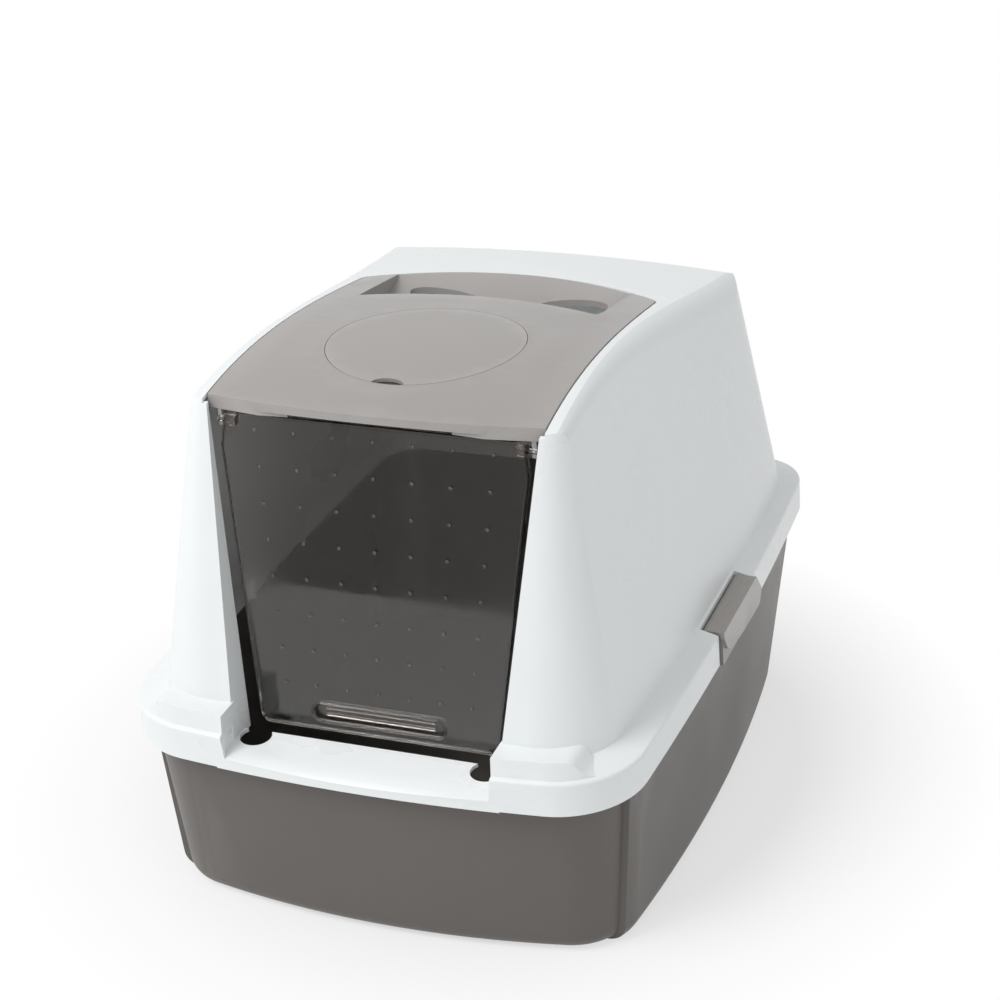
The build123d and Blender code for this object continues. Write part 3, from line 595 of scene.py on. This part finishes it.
# %% [markdown]
# Arms and pins carry the door in the lid's ears.  The pins lie on the hinge
# line, and because the panel is still flat, the line's place is worked back
# through the shear first.

# %% Add the hinge and lean the door
PIN_Y, PIN_Z = -0.185, 0.404
STUB_FROM, STUB_TO, STUB_RADIUS = 0.1153, 0.1238, 0.0045
PIN_TO, PIN_RADIUS = 0.1315, 0.0030
ARM_X, ARM_WIDE, ARM_HIGH = 0.11955, 0.0085, 0.008
ARM_LONGER, ARM_BACK = 0.0004, 0.0006


def add_hinge(bm):
    flat_y = PIN_Y - DOOR_MIDDLE_Y - DOOR_LEAN * (PIN_Z - DOOR_MIDDLE_Z)
    turn = Matrix.Rotation(QUARTER_TURN, 4, "Y")
    for side in (-1, 1):
        for end, radius in ((STUB_TO, STUB_RADIUS), (PIN_TO, PIN_RADIUS)):
            place = Matrix.Translation((side * (STUB_FROM + end) / 2, flat_y, PIN_Z)) @ turn
            add_cone(bm, place, (radius, radius), end - STUB_FROM, segments=32)
        add_box(bm, (ARM_WIDE, flat_y + ARM_LONGER, ARM_HIGH),
                (side * ARM_X, flat_y / 2 + ARM_BACK, PIN_Z))


def finish_piece(bm, name, body, *replaced):
    piece = stand_mesh(bm, name)
    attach(piece, body)
    if replaced:
        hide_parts(*replaced)
    return piece


def triangles(piece):
    return sum(len(p.vertices) - 2 for p in piece.data.polygons)


add_hinge(panel)
bmesh.ops.transform(panel, matrix=door_shear(), verts=panel.verts)
door = finish_piece(panel, "smoked_door", "door", "swing_door")
print("door triangles:", triangles(door))

# %% [markdown]
# Smoke is colour in the body of the sheet.  Transmission keeps the door
# see-through, so the light wall inside and the dark depth behind it show.
# The base colour is the share of light that each pass lets through.  The
# renderer would give a clear sheet a black shadow, so its shadow is turned
# off and the lamps reach the inside of the box.

# %% Pour the door
SMOKE = moulded("smoked_acrylic", (0.72, 0.69, 0.665), roughness=0.06, cloud=0.03, rubbed=0.1,
                grain=300.0, bump=0.02, ior=1.59, clear=1.0)
paint(door, SMOKE)
door.visible_shadow = False
print("door poured:", SMOKE.name)

# %% [markdown]
# ## The lid
#
# Two shallow scallops in the handle's front edge make room for fingertips,
# with a small swelling between them.  The lid is a finished solid, so a copy
# of it is merged into one skin and a rod is cut away for each.  A rod is a
# round bar that one matrix places and stretches, so an upright ellipse and
# the long crowned cut below are the same operation.

# %% Cut the scallops
SCALLOP_X, SCALLOP_Y, SCALLOP_Z = 0.056, 0.0985, 0.39
SCALLOP_HALF_WIDE, SCALLOP_HALF_DEEP = 0.034, 0.0105
ELLIPSE_HIGH, ELLIPSE_SEGMENTS = 0.06, 96
MERGE_DISTANCE = 0.000001


def merged_copy(node):
    bm = bmesh.new()
    bm.from_mesh(nodes[node].data)
    bmesh.ops.remove_doubles(bm, verts=bm.verts, dist=MERGE_DISTANCE)
    return bm


def apply_modifiers(piece):
    depsgraph = bpy.context.evaluated_depsgraph_get()
    shaped = bpy.data.meshes.new_from_object(piece.evaluated_get(depsgraph))
    piece.modifiers.clear()
    piece.data = shaped


def cut_rod(piece, place, segments):
    bm = bmesh.new()
    add_cone(bm, place, (1.0, 1.0), 1.0, segments)
    cutter = stand_mesh(bm, "rod_cutter")
    cut = piece.modifiers.new("rod_cut", "BOOLEAN")
    cut.operation = "DIFFERENCE"
    cut.solver = "EXACT"
    cut.object = cutter
    apply_modifiers(piece)
    bpy.data.objects.remove(cutter)


def upright_ellipse(centre, half_wide, half_deep):
    size = Matrix.Diagonal((half_wide, half_deep, ELLIPSE_HIGH, 1.0))
    return Matrix.Translation(centre) @ size


front_lid = finish_piece(merged_copy("lid"), "front_lid", "lid", "lid")
for side in (-1, 1):
    scallop = upright_ellipse((side * SCALLOP_X, SCALLOP_Y, SCALLOP_Z), SCALLOP_HALF_WIDE,
                              SCALLOP_HALF_DEEP)
    cut_rod(front_lid, scallop, ELLIPSE_SEGMENTS)
print("lid triangles after the scallops:", triangles(front_lid))

# %% [markdown]
# The lip over the door ends in a long shallow arch that runs with the roof's
# crown.  A very large rod lies under it from front to back, and with many
# segments its top is smooth enough to be that arch.  A merged mesh has lost
# the solid's own normals, so edges past an angle are marked sharp, and
# weighted normals keep the wide faces even.

# %% Trim the lip and shade the lid
CROWN_RADIUS, CROWN_SEGMENTS = 1.9346, 2048
LIP_FOOT, LIP_Y, LIP_DEEP = 0.4190, -0.2095, 0.032
SHARP_FROM, SEAM_DISTANCE = 24, 0.000002


def shade_moulding(piece):
    bm = bmesh.new()
    bm.from_mesh(piece.data)
    bmesh.ops.remove_doubles(bm, verts=bm.verts, dist=SEAM_DISTANCE)
    for face in bm.faces:
        face.smooth = True
    for edge in bm.edges:
        edge.smooth = edge.calc_face_angle(math.pi) < math.radians(SHARP_FROM)
    bm.to_mesh(piece.data)
    bm.free()
    even = piece.modifiers.new("even_shading", "WEIGHTED_NORMAL")
    even.keep_sharp = True


lying = Matrix.Rotation(QUARTER_TURN, 4, "X")
crown = Matrix.Diagonal((CROWN_RADIUS, CROWN_RADIUS, LIP_DEEP, 1.0))
under_lip = Matrix.Translation((0, LIP_Y, LIP_FOOT - CROWN_RADIUS)) @ lying @ crown
cut_rod(front_lid, under_lip, CROWN_SEGMENTS)
shade_moulding(front_lid)
paint(front_lid, LID_GREY)
print("lid triangles:", triangles(front_lid))

# %% [markdown]
# The cap lies flush in the lid, and a finger notch at its front edge lifts
# it.  The notch is one more ellipse, cut from a merged copy of the cap.

# %% Cut the cap's notch
NOTCH_PLACE = (0, -0.1560, 0.43)
NOTCH_HALF_WIDE, NOTCH_HALF_DEEP = 0.0135, 0.0085

round_cap = finish_piece(merged_copy("filter_cap"), "round_cap", "filter", "filter_cap")
notch = upright_ellipse(NOTCH_PLACE, NOTCH_HALF_WIDE, NOTCH_HALF_DEEP)
cut_rod(round_cap, notch, ELLIPSE_SEGMENTS)
shade_moulding(round_cap)
paint(round_cap, LID_GREY)
print("cap triangles:", triangles(round_cap))

# %% [markdown]
# ## The filter pad
#
# The pad is cut from a thick open felt.  Remeshing the plain solid gives it
# even faces to push about, and a little noise drawn inwards gives the hairy
# cut edge and the soft top of felt, without growing past its pocket.

# %% Cut the felt
FELT_VOXEL = 0.0018
FELT_DRAWN_IN, FELT_SOFTENING = 0.0004, 0.5
FELT_HAIRS = ((0.0004, 260.0), (0.0003, 900.0))


def felt_pad():
    pad = finish_piece(merged_copy("filter_pad"), "filter_felt", "filter", "filter_pad")
    remesh = pad.modifiers.new("even_faces", "REMESH")
    remesh.mode = "VOXEL"
    remesh.voxel_size = FELT_VOXEL
    apply_modifiers(pad)
    bm = bmesh.new()
    bm.from_mesh(pad.data)
    bmesh.ops.smooth_vert(bm, verts=bm.verts, factor=FELT_SOFTENING, use_axis_x=True,
                          use_axis_y=True, use_axis_z=True)
    bm.normal_update()
    for v in bm.verts:
        push = FELT_DRAWN_IN
        for depth, scale in FELT_HAIRS:
            push += depth * noise.noise(v.co * scale)
        v.co -= v.normal * push
    bm.to_mesh(pad.data)
    bm.free()
    return pad


felt = felt_pad()
print("felt faces:", len(felt.data.polygons))

# %% [markdown]
# Felt takes no gloss.  Its colour shifts from fibre to fibre, so one fine
# noise, bent out of its even spots, drives the colour, the roughness and the
# relief together.

# %% Dye the felt
FIBRE_SCALE, FIBRE_DETAIL, FIBRE_BEND = 700.0, 4.0, 1.5
FELT_SHADES = ((0.35, (0.012, 0.012, 0.013, 1)), (0.70, (0.075, 0.073, 0.072, 1)))
FELT_ROUGHNESS, FELT_SHEEN = (0.85, 1.0), 0.3
FELT_RELIEF, FELT_DEPTH = 0.8, 0.0006


def felt_finish():
    material = bpy.data.materials.new("carbon_felt")
    material.use_nodes = True
    tree = material.node_tree
    shader = tree.nodes["Principled BSDF"]
    shader.inputs["Sheen Weight"].default_value = FELT_SHEEN
    fibres = noise_pattern(tree, FIBRE_SCALE, FIBRE_DETAIL, FIBRE_BEND)
    shades = tree.nodes.new("ShaderNodeValToRGB")
    for stop, (position, colour) in zip(shades.color_ramp.elements, FELT_SHADES):
        stop.color = colour
        stop.position = position
    feed(tree, fibres, shades.inputs["Fac"])
    feed(tree, shades.outputs["Color"], shader.inputs["Base Color"])
    rough = remap(tree, fibres, (0.0, 1.0), FELT_ROUGHNESS)
    feed(tree, rough, shader.inputs["Roughness"])
    emboss(tree, fibres, FELT_RELIEF, FELT_DEPTH)
    return material


paint(felt, felt_finish())
print("felt dyed:", felt.data.materials[0].name)

# %% [markdown]
# ## The plinths' webs
#
# The hood's skirt is hollow under its two front plinths, and the low sill
# would show that hollow from inside the entry.  A thin web closes each side,
# as a moulding's shut-off wall does.

# %% Close the plinths
WEB_SIZE, WEB_ROUND = (0.0016, 0.0233, 0.0145), 0.0003
WEB_X, WEB_Y, WEB_Z = 0.1137, -0.26815, 0.1645


def plinth_webs():
    bm = bmesh.new()
    for side in (-1, 1):
        add_box(bm, WEB_SIZE, (side * WEB_X, WEB_Y, WEB_Z), WEB_ROUND)
    return bm


webs = finish_piece(plinth_webs(), "plinth_webs", "hood")
paint(webs, HOOD_WHITE)
print("web triangles:", triangles(webs))
